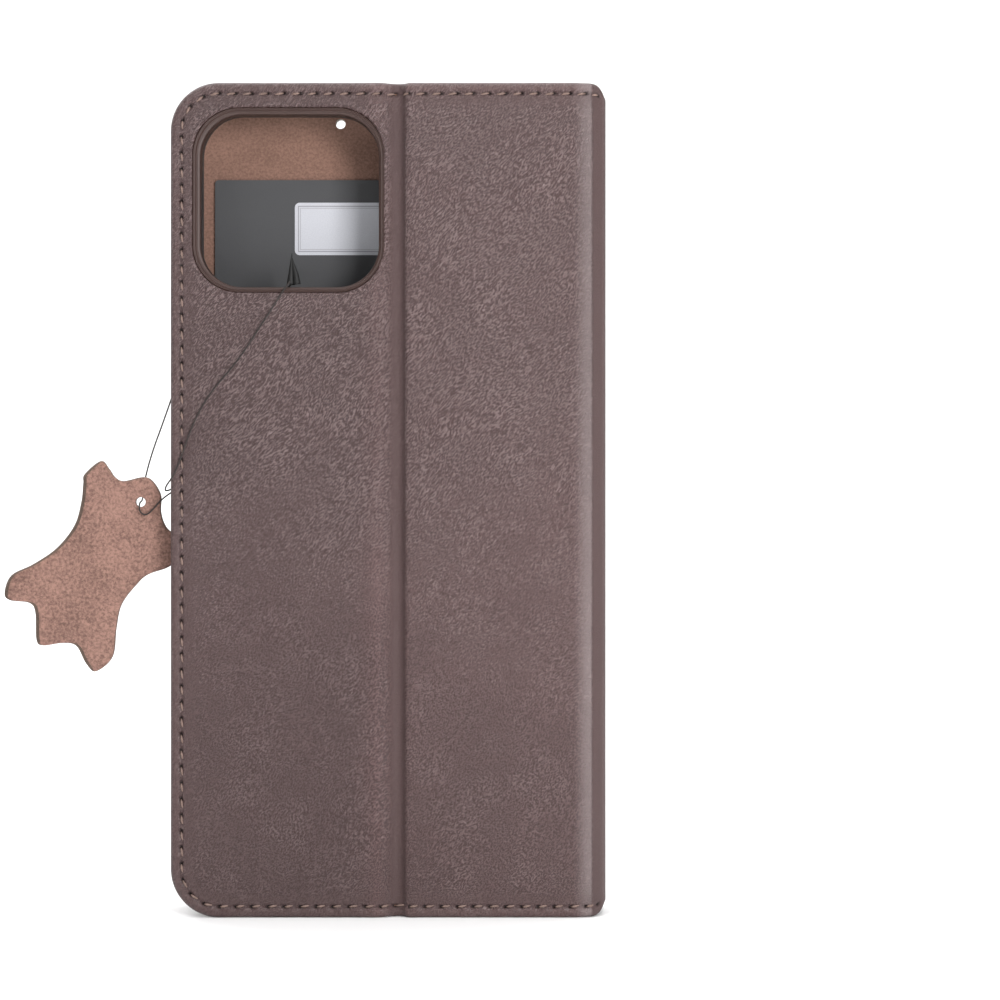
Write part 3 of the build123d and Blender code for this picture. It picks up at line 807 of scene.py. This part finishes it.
def tube_faces(base, stations, around):
    """The faces of a tube of rings, with both ends closed."""
    faces = []
    for i in range(stations - 1):
        for j in range(around):
            p, q = base + i * around + j, base + i * around + (j + 1) % around
            faces.append((p, q, q + around, p + around))
    faces.append(tuple(base + j for j in reversed(range(around))))
    faces.append(tuple(base + (stations - 1) * around + j for j in range(around)))
    return faces


def wall(radius, steps=6, reach=1.0, down=0.8):
    """An opening's section, from the face round its edge and down."""
    return [(reach, 0.0), *turned(radius, 90, steps), (0.0, down)]


def bend(piece):
    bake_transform(piece)
    return piece


def camera_opening(left, step=0.4):
    """The opening's outline as u from a free edge; the path is straight up to the crease."""
    loop = rounded_loop(HOLE_LOW[0], HOLE_HIGH[0], HOLE_LOW[2], HOLE_HIGH[2], HOLE_R, step)
    loop[:, 0] -= left
    return loop


# ---- leather ----
skin_dip = lower_spine(OUTER)


def leather_sheet(u0, u1, free, close):
    return Sheet(OUTER, u0, u1, 0, HEIGHT, free, CORNER_R, SKIN_SECTION, close=[close], dip=skin_dip,
                 edge_r=EDGE_R)


def lay_leather(name, sheet, seam, face, leather_nodes, stitch_node, holes=()):
    """One stretch of the leather and its stitches, both shaped round the case along its path."""
    piece = sheet.build(name + "_leather", face, seam.along, holes, material=LEATHER, names=GRAIN_VALUES)
    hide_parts(*leather_nodes)
    bend(piece)
    stitches = add_stitches(name + "_stitches", sheet, seam)
    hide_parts(stitch_node)
    bend(stitches)


sheet = leather_sheet(0, AT_CUT, "left", (CREASE_U, 2.6, 2.2))
along = seam_lengths(sheet.chains[0])
pitch = along[-1] / round(along[-1] / PITCH)
seam = Seam([along], pitch, 0, along[-1])
lay_leather("back", sheet, seam, skin_face(seam, lambda u: 1.0),
            ("back_leather_camera_half", "crease_fold"), "back_stitching_camera_half",
            [(camera_opening(LEFT), wall(0.5))])

sheet = leather_sheet(AT_CUT, HALF, "none", (FOLD_MIDDLE, 3.2, 2.4))
seam = Seam([chain[:, 0] - AT_CUT for chain in sheet.chains], pitch, 0, SEAM_STOP - AT_CUT)
sewn_to = lambda u: 1 - smoothstep(SEAM_STOP - 0.4, SEAM_STOP + 0.8, u)
lay_leather("hinge", sheet, seam, skin_face(seam, sewn_to),
            ("back_leather_hinge_half", "back_fold_leather"), "back_stitching_hinge_half")

sheet = leather_sheet(HALF, LENGTH, "right", (2 * HALF - FOLD_MIDDLE, 3.2, 2.4))
along = seam_lengths(sheet.chains[0]) - (COVER_STOP - HALF)
total = along[-1] - (COVER_STOP - HALF)
seam = Seam([along], total / round(total / PITCH), 0, total)
cover_face = skin_face(seam, lambda u: smoothstep(COVER_STOP - 0.8, COVER_STOP + 0.4, u))


def crowned(p, d, s):
    """The cover's padding swells a little, so its edges lie lower."""
    depth, extra = cover_face(p, d, s)
    over = smoothstep(COVER_STOP, COVER_STOP + 9, p[:, 0])
    return depth + 0.35 * over * (1 - smoothstep(1.0, 8.0, d)), extra


lay_leather("cover", sheet, seam, crowned, ("spine_leather", "front_fold_leather", "front_leather"),
            "front_stitching",
            [(round_loop(LENGTH - (x - LEFT), SPEAKER_Z, SPEAKER_R), wall(0.35, 5, 0.95)) for x in SPEAKER_X])


# ---- lining ----
LINING, LINING_EDGE = 0.28, 0.14  # its thickness, and the radius of its edge
LINING_SECTION = rolled((1.0, 0.7, 0.4, 0.2), LINING_EDGE, LINING)
LINING_WALL = wall(0.1, 3, 0.3, 0.2)
lining_dip = lower_spine(INNER)


def lay_lining(name, u0, u1, free, node_names, close, holes=()):
    sheet = Sheet(INNER, u0, u1, INSIDE_INSET, HEIGHT - INSIDE_INSET, free, CORNER_R - INSIDE_INSET,
                  LINING_SECTION, close=[close], dip=lining_dip, edge_r=LINING_EDGE)

    def face(p, d, s):
        return 0.06 * bump(d, 0, 0.8), np.zeros((len(p), 0))

    piece = sheet.build(name, face, holes=holes, grid=1.2, material=SUEDE)
    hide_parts(*node_names)
    return bend(piece)


lay_lining("lining_back", 0, INNER_CUT, "left", ("back_lining_camera_half",),
           (INNER.on_back(1.5), 2.0, 1.5), [(camera_opening(INSIDE_LEFT, 0.8), LINING_WALL)])
lay_lining("lining_hinge", INNER_CUT, INNER_HALF, "none", ("back_lining_hinge_half",),
           (INNER.on_back(41.4), 2.2, 3.0))
lay_lining("lining_cover", INNER_HALF, INNER.length, "right", ("spine_lining", "front_lining"),
           (INNER.on_cover(41.4), 2.2, 3.0),
           [(round_loop(INNER.length - (x - INSIDE_LEFT), SPEAKER_Z, SPEAKER_R, 24), LINING_WALL)
            for x in SPEAKER_X])


# ---- the pressed lip round the camera opening ----
def even_loop(x0, x1, z0, z1, radius, arc_points=14, side_points=12):
    """A rounded rectangle whose points match those of any other one."""
    points = []
    corners = ((x1 - radius, z1 - radius, 90), (x1 - radius, z0 + radius, 0), (x0 + radius, z0 + radius, -90),
               (x0 + radius, z1 - radius, 180))
    for k, (cx, cz, start) in enumerate(corners):
        t = np.radians(np.linspace(start, start - 90, arc_points))
        points.append(np.stack([cx + radius * np.cos(t), cz + radius * np.sin(t)], 1))
        nx, nz, at = corners[(k + 1) % 4]
        begin, end = points[-1][-1], np.array([nx + radius * math.cos(math.radians(at)),
                                               nz + radius * math.sin(math.radians(at))])
        points.append(np.linspace(begin, end, side_points + 2)[1:-1])
    return np.vstack(points)


def loft(loops):
    """The points of matching loops, and the quads between each and the next."""
    n = len(loops[0])
    return np.vstack(loops), ring_faces([k * n for k in range(len(loops))], n)


def camera_lip():
    """A smooth band that steps down from the leather to the shell's opening, with two fine ridges."""
    top, foot = HOLE_LOW[1], HOLE_HIGH[1]
    outer = np.array([HOLE_LOW[0], HOLE_HIGH[0], HOLE_LOW[2], HOLE_HIGH[2], HOLE_R])
    inner = outer + [LIP[0], -LIP[1], LIP[2], -LIP[3], LIP_R - HOLE_R]
    face = ((-0.3, 0.75), (-0.12, 0.3), (0.0, 0.16), (0.06, 0.1), (0.11, -0.06), (0.17, -0.1), (0.22, -0.03),
            (0.26, 0.09), (0.32, 0.11), (0.4, 0.1), (0.47, 0.0), (0.53, -0.05), (0.59, 0.0), (0.64, 0.1),
            (0.72, 0.16), (0.82, 0.2), (0.9, 0.28), (0.96, 0.42), (1.0, 0.65), (1.0, 1.1))
    section = beside(top, face) + [(1.0, foot), (0.3, foot), (-0.25, foot), (-0.3, top + 1.4)]
    loops = []
    for share, y in section:
        loop = even_loop(*(outer + share * (inner - outer)))
        loops.append(np.insert(loop, 1, y, axis=1))
    verts, faces = loft(loops)
    n = len(loop)
    faces += ring_faces([len(verts) - n, 0], n)
    piece = make_mesh("camera_lip", verts, faces, [LIP_LEATHER])
    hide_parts("camera_hole_binding")
    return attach(piece, "camera_half")


camera_lip()


def spine_board():
    """The stiff strip in the spine, cut shorter than the leather round it, with rounded edges."""
    low, high = box_mm("spine_strip")
    x0, x1 = low[0], high[0]
    loops = []
    for inset, x in ((0.4, x0), (0.1, x0), (0.0, x0 + 0.1), (0.0, x1 - 0.1), (0.1, x1), (0.4, x1)):
        end = BOARD_END + inset
        loop = even_loop(low[1] + inset, high[1] - inset, end, HEIGHT - end, 1.0)
        loops.append(np.insert(loop, 0, x, axis=1))
    verts, faces = loft(loops)
    n = len(loop)
    faces += [tuple(range(n)), tuple(range(len(verts) - n, len(verts)))]
    piece = make_mesh("spine_board", verts, faces, [BOARD], smooth=False)
    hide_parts("spine_strip")
    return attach(piece, "spine")


spine_board()


# ---- pockets inside the cover ----
POCKET_R, POCKET_SEAM = 2.4, 1.5  # a pocket's corners, and its seam's inset


def add_pocket(node, hidden_below=None):
    """A thin leather panel with a rolled edge and a seam, which is left out where another pocket covers it."""
    low, high = box_mm(node)
    face_y, width = low[1], high[0] - low[0]
    thick = min(0.36, high[1] - low[1] - 0.02)
    path = Path(((low[0], face_y), ((low[0] + high[0]) / 2, face_y), (high[0], face_y)))
    insets = (2.2, 2.0, 1.85, 1.72, 1.6, 1.48, 1.35, 1.2, 1.0, 0.7, 0.4)
    sheet = Sheet(path, 0, width, low[2], high[2], "both", POCKET_R, rolled(insets, thick / 2, thick),
                  edge_r=thick / 2)
    along = seam_lengths(sheet.chains[0], POCKET_SEAM)
    total = along[-1] + along[1]
    seam = Seam([along], total / round(total / PITCH), 0, total)

    def face(p, d, s):
        groove = 0.05 * bump(d, POCKET_SEAM, 0.3)
        if s is not None and d[0] < insets[0] + 0.1:
            groove = groove + 0.12 * bump(seam.to_needle(s), 0, 0.4) * bump(d, POCKET_SEAM, 0.2)
        return groove, np.zeros((len(p), 0))

    piece = sheet.build(node + "_panel", face, [along], grid=1.5, material=SMALL_LEATHER)
    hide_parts(node)
    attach(piece, "front_cover")
    keep = (lambda p: p[1] > hidden_below + 1) if hidden_below else None
    threads = add_stitches(node + "_stitches", sheet, seam, 0.13, POCKET_SEAM, 0.42, keep)
    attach(threads, "front_cover")


_, middle_top, lower_top = (box_mm(f"card_pocket_{k}")[1][2] for k in ("upper", "middle", "lower"))
add_pocket("bill_pocket")
add_pocket("card_pocket_upper", middle_top)
add_pocket("card_pocket_middle", lower_top)
add_pocket("card_pocket_lower")


# ---- hang tag ----
TAG_OUTLINE = (
    (-57.5, 90.9), (-59.2, 92.5), (-62.5, 89.8), (-62.8, 87.9), (-63.2, 84.1), (-64.6, 79.3),
    (-68.2, 74.7), (-73.0, 71.4), (-77.5, 69.1), (-78.9, 65.6), (-77.9, 64.0), (-73.8, 63.4),
    (-72.6, 61.4), (-72.4, 56.0), (-71.1, 54.7), (-67.0, 55.2), (-64.2, 54.6), (-62.2, 51.0),
    (-60.2, 49.4), (-56.8, 52.4), (-56.0, 58.4), (-54.9, 63.2), (-51.6, 67.5), (-49.4, 69.3),
    (-45.3, 70.8), (-43.2, 73.2), (-43.6, 76.6), (-45.9, 79.1), (-46.9, 82.1), (-46.9, 85.5),
    (-48.6, 88.4), (-50.6, 89.2), (-54.5, 88.4), (-56.3, 89.2),
)
TAG_HOLE = (-51.0, 84.1)
TAG_HOLE_R = 1.0


def curve_at(a, b, c, d, t):
    """The place at share t of the way from b to c, on a smooth curve through four points."""
    return 0.5 * (2 * b + (c - a) * t + (2 * a - 5 * b + 4 * c - d) * t * t + (3 * b - a - 3 * c + d) * t**3)


def closed_curve(points, steps=7):
    """A smooth closed curve through the points."""
    p = np.array(points, float)
    spans = zip(*(np.roll(p, k, 0) for k in (1, 0, -1, -2)))
    return np.array([curve_at(*span, t) for span in spans for t in np.linspace(0, 1, steps, endpoint=False)])


def hang_tag():
    low, high = box_mm("hang_tag")
    edge = closed_curve(TAG_OUTLINE)
    along = np.roll(edge, -1, 0) - np.roll(edge, 1, 0)
    along /= np.linalg.norm(along, axis=1, keepdims=True)
    area = np.sum(edge[:, 0] * np.roll(edge[:, 1], -1) - edge[:, 1] * np.roll(edge[:, 0], -1))
    inward = np.stack([-along[:, 1], along[:, 0]], 1) * np.sign(area)
    hole = round_loop(*TAG_HOLE, TAG_HOLE_R, 28)
    from_edge = distance_from(edge)
    n, m = len(edge), len(hole)
    verts, faces, kinds, rims = [], [], [], []
    for y, out, kind in ((low[1], -1, 0), (high[1], 1, 2)):  # the suede side and the grain side
        cut = 0.7 * np.clip(inward[:, :1], 0, 1) if kind == 0 else 0.0  # the cut edge shows along the left
        rings, mouth = [], []
        for inset, sunk in ((0.0, 0.45), (0.06, 0.12), (0.17, 0.03), (0.34, 0.0)):
            rings.append(len(verts))
            ring = edge + (inset + (cut if inset else 0.0)) * inward
            verts += [(x, y - out * sunk, z) for x, z in ring]
        faces += ring_faces(rings, n)
        kinds += [1] * n + [kind] * (n * (len(rings) - 2))
        for grow, sunk in ((0.0, 0.25), (0.1, 0.06), (0.25, 0.0)):
            mouth.append(len(verts))
            verts += [(x, y - out * sunk, z) for x, z in hole[:, :2] + grow * hole[:, 2:]]
        faces += ring_faces(mouth, m)
        kinds += [kind] * (m * (len(mouth) - 1))
        points, tris = fill([ring, hole[:, :2] + 0.25 * hole[:, 2:]], 0.42)
        known = list(range(rings[-1], rings[-1] + n)) + list(range(mouth[-1], mouth[-1] + m))
        start = len(verts)
        for x, z in points[len(known):]:
            away = from_edge((x, z))
            line = 0.14 * math.exp(-(((away - 1.3) / 0.28) ** 2)) if kind == 2 else 0.0
            verts.append((x, y - out * (line - 0.05 * min(1, away / 3)), z))
        lookup = known + list(range(start, len(verts)))
        faces += [tuple(lookup[i] for i in t) for t in tris]
        kinds += [kind] * len(tris)
        rims.append((rings[0], mouth[0]))
    (a, c), (b, d) = rims
    faces += ring_faces([a, b], n) + ring_faces([c, d], m)
    kinds += [1] * (n + m)
    piece = make_mesh("tag_body", verts, faces, [TAG_SUEDE, RAW_EDGE, TAG_GRAIN], kinds=kinds)
    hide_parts("hang_tag")
    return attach(piece, "tag")


TAG = hang_tag()


# ---- waxed thread ----
THREAD_R = 0.16
OUTER_ROUTE = (
    (-19.85, -7.78, 128.88), (-20.9, -9.2, 127.3), (-22.8, -9.3, 124.2), (-25.8, -9.05, 119.7),
    (-30.2, -8.95, 112.8), (-36.3, -8.95, 105.9), (-39.6, -9.05, 99.6), (-41.6, -9.0, 93.8),
    (-43.2, -9.2, 89.6), (-44.9, -8.9, 87.4), (-45.5, -6.4, 86.4), (-45.2, -4.0, 86.4),
    (-44.4, -2.0, 86.9),
)
LOOP_ROUTE = (
    (-44.4, -2.0, 86.3), (-46.3, -3.4, 85.0), (-48.3, -3.6, 82.6), (-49.7, -3.7, 81.3),
    (-51.1, -3.65, 82.0), (-51.15, -3.45, 84.0), (-50.9, -0.5, 84.3), (-50.6, -0.4, 88.4),
    (-48.8, -0.95, 94.6), (-46.5, -1.3, 100.6), (-44.4, -2.0, 106.4),
)
INNER_ROUTE = (
    (-44.4, -2.0, 106.6), (-43.3, -1.3, 112.0), (-42.9, 0.6, 118.2), (-42.8, 3.0, 122.5),
    (-42.4, 4.75, 126.0), (-39.8, 4.75, 128.0), (-36.4, 3.9, 128.2), (-31.5, 0.6, 127.3),
    (-26.0, -3.0, 127.0), (-21.8, -3.6, 127.1), (-20.0, -4.0, 128.4), (-19.55, -6.07, 129.05),
)


def add_thread(name, route, node, body):
    """A waxed thread along a smooth curve whose control points are the route."""
    curve = bpy.data.curves.new(name, "CURVE")
    curve.dimensions = "3D"
    spline = curve.splines.new("NURBS")
    spline.points.add(len(route) - 1)
    for point, (x, y, z) in zip(spline.points, route):
        point.co = (x * MM, y * MM, z * MM, 1)
    spline.order_u = 3
    spline.use_endpoint_u = True
    spline.resolution_u = 12
    curve.bevel_depth = THREAD_R * MM
    curve.bevel_resolution = 4
    curve.use_fill_caps = True
    curve.materials.append(WAXED_THREAD)
    piece = bpy.data.objects.new(name, curve)
    link_to_scene(piece)
    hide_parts(node)
    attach(piece, body)
    return piece


def sweep_tube(points, radii, around=10, steps=6):
    """The points and faces of a tube along a smooth line through the points."""
    p = np.array(points, float)
    ends = np.vstack([2 * p[0] - p[1], p, 2 * p[-1] - p[-2]])
    line, size = [], []
    for i in range(1, len(ends) - 2):
        for t in np.linspace(0, 1, steps, endpoint=False):
            line.append(curve_at(*ends[i - 1:i + 3], t))
            size.append(radii[i - 1] + (radii[i] - radii[i - 1]) * t)
    line.append(p[-1])
    size.append(radii[-1])
    line = np.array(line)
    onward = np.gradient(line, axis=0)
    onward /= np.linalg.norm(onward, axis=1, keepdims=True)
    side = np.cross(onward[0], (0.3, 0.9, 0.2))
    verts = []
    theta = np.linspace(0, 2 * math.pi, around, endpoint=False)
    for q, w, r in zip(line, onward, size):
        side = side - w * (side @ w)
        side /= np.linalg.norm(side)
        up = np.cross(w, side)
        verts += list(q + r * (np.outer(np.cos(theta), side) + np.outer(np.sin(theta), up)))
    return verts, tube_faces(0, len(line), around)


def knot():
    """An overhand knot pulled tight, with two cut tails that rise in the camera opening."""
    low, high = box_mm("thread_knot")
    middle, size = (low + high) / 2, (high - low)[0] / 2
    t = np.linspace(0, 2 * math.pi, 26)
    trefoil = np.stack([np.sin(t) + 2 * np.sin(2 * t), 1.0 * np.sin(3 * t), np.cos(t) - 2 * np.cos(2 * t)], 1)
    trefoil = middle + trefoil / 3.0 * (size - 0.3)
    tails = ([(-0.6, -0.3, -1.0), (-0.5, -0.5, 1.2), (-0.4, -0.6, 3.2), (-0.3, -0.6, 5.3)],
             [(0.7, -0.3, -1.0), (0.45, -0.45, 1.0), (0.0, -0.6, 3.0), (-0.2, -0.6, 4.3)])
    verts, faces = [], []
    for points, radii in ((trefoil, [0.36] * len(trefoil)), (middle + tails[0], (0.8, 0.52, 0.3, 0.07)),
                          (middle + tails[1], (0.8, 0.6, 0.3, 0.09))):
        more, quads = sweep_tube(points, radii)
        faces += [tuple(len(verts) + i for i in f) for f in quads]
        verts += more
    piece = make_mesh("knot_with_tails", verts, faces, [KNOT_THREAD])
    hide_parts("thread_knot")
    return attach(piece, "camera_half")


KNOT = knot()
add_thread("thread_over_back", OUTER_ROUTE, "tag_thread_outer", "camera_half")
add_thread("thread_loop", LOOP_ROUTE, "tag_thread_loop", "tag")
add_thread("thread_inside", INNER_ROUTE, "tag_thread_inner", "camera_half")


# ---- CAD pieces that stay ----
FINISHES = {
    "back_board_camera_half": BOARD, "back_board_hinge_half": BOARD, "front_board": BOARD,
    "back_magnets": MAGNET, "front_magnets": MAGNET, "front_padding": FOAM, "shell_adhesive": TAPE,
    "phone_shell": SHELL, "volume_up_button": BUTTON, "volume_down_button": BUTTON, "side_button": BUTTON,
    "insert_card": CARD_STOCK, "card_label": LABEL_PAPER,
}
for node, material in FINISHES.items():
    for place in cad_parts[node].material_slots:
        place.material = material


# ---- floor, backdrop, lights and camera ----
def backdrop():
    """A pale floor that curves up behind the case."""
    profile = [(-1.6, 0.0), (0.5, 0.0)]
    profile += [(0.5 + 0.6 * math.sin(a), 0.6 - 0.6 * math.cos(a)) for a in np.radians(np.linspace(5, 90, 18))]
    profile += [(1.1, 2.4)]
    mesh = bpy.data.meshes.new("floor")
    verts = [(x, y, z) for y, z in profile for x in (-2.5, 2.5)]
    mesh.from_pydata(verts, [], [(2 * i, 2 * i + 1, 2 * i + 3, 2 * i + 2) for i in range(len(profile) - 1)])
    mesh.polygons.foreach_set("use_smooth", [True] * len(mesh.polygons))
    floor = bpy.data.objects.new("floor", mesh)
    link_to_scene(floor)
    m = Nodes("floor_paper", Roughness=0.9, Specular_IOR_Level=0.1)
    p = m.new("TexCoord").outputs["Object"]
    tone = m.noise(p, 1.2, 2.0, 0.5)
    mesh.materials.append(m.finish(m.mix(tone, (0.86, 0.86, 0.86, 1), (0.9, 0.9, 0.9, 1))))


def add_light(name, place, target, size, power):
    data = bpy.data.lights.new(name, "AREA")
    data.shape, data.size, data.energy = "SQUARE", size, power
    light = bpy.data.objects.new(name, data)
    light.location = place
    light.visible_camera = False
    light.rotation_euler = (Vector(target) - Vector(place)).to_track_quat("-Z", "Y").to_euler()
    link_to_scene(light)


backdrop()
CENTRE = (0, 0, 0.085)
add_light("key", (0.24, -0.42, 0.2), CENTRE, 0.18, 2.2)
add_light("fill", (-0.5, -0.9, 0.9), CENTRE, 0.6, 2.2)
add_light("rear_fill", (-0.35, 0.45, 0.55), CENTRE, 0.5, 2.5)
add_light("back_wash", (0.0, 0.25, 1.7), (0, 0.95, 0.5), 1.6, 36.0)
world = bpy.data.worlds.new("studio")
world.use_nodes = True
nodes, link = world.node_tree.nodes, world.node_tree.links.new
nodes["Background"].inputs[0].default_value = (1, 1, 1, 1)
level = nodes.new("ShaderNodeMapRange")  # white where the camera looks past the floor
level.inputs["To Min"].default_value, level.inputs["To Max"].default_value = 0.25, 1.0
link(nodes.new("ShaderNodeLightPath").outputs["Is Camera Ray"], level.inputs["Value"])
link(level.outputs[0], nodes["Background"].inputs[1])
bpy.context.scene.world = world

camera = bpy.data.cameras.new("camera")
camera.sensor_width, camera.lens = 36, 84.6
camera.clip_start, camera.clip_end = 0.01, 20
viewer = bpy.data.objects.new("camera", camera)
viewer.location = (0.02254, -0.4835, 0.0845)
viewer.rotation_euler = (math.pi / 2, 0, 0)
link_to_scene(viewer)
bpy.context.scene.camera = viewer
bpy.context.scene.view_settings.view_transform = "Standard"
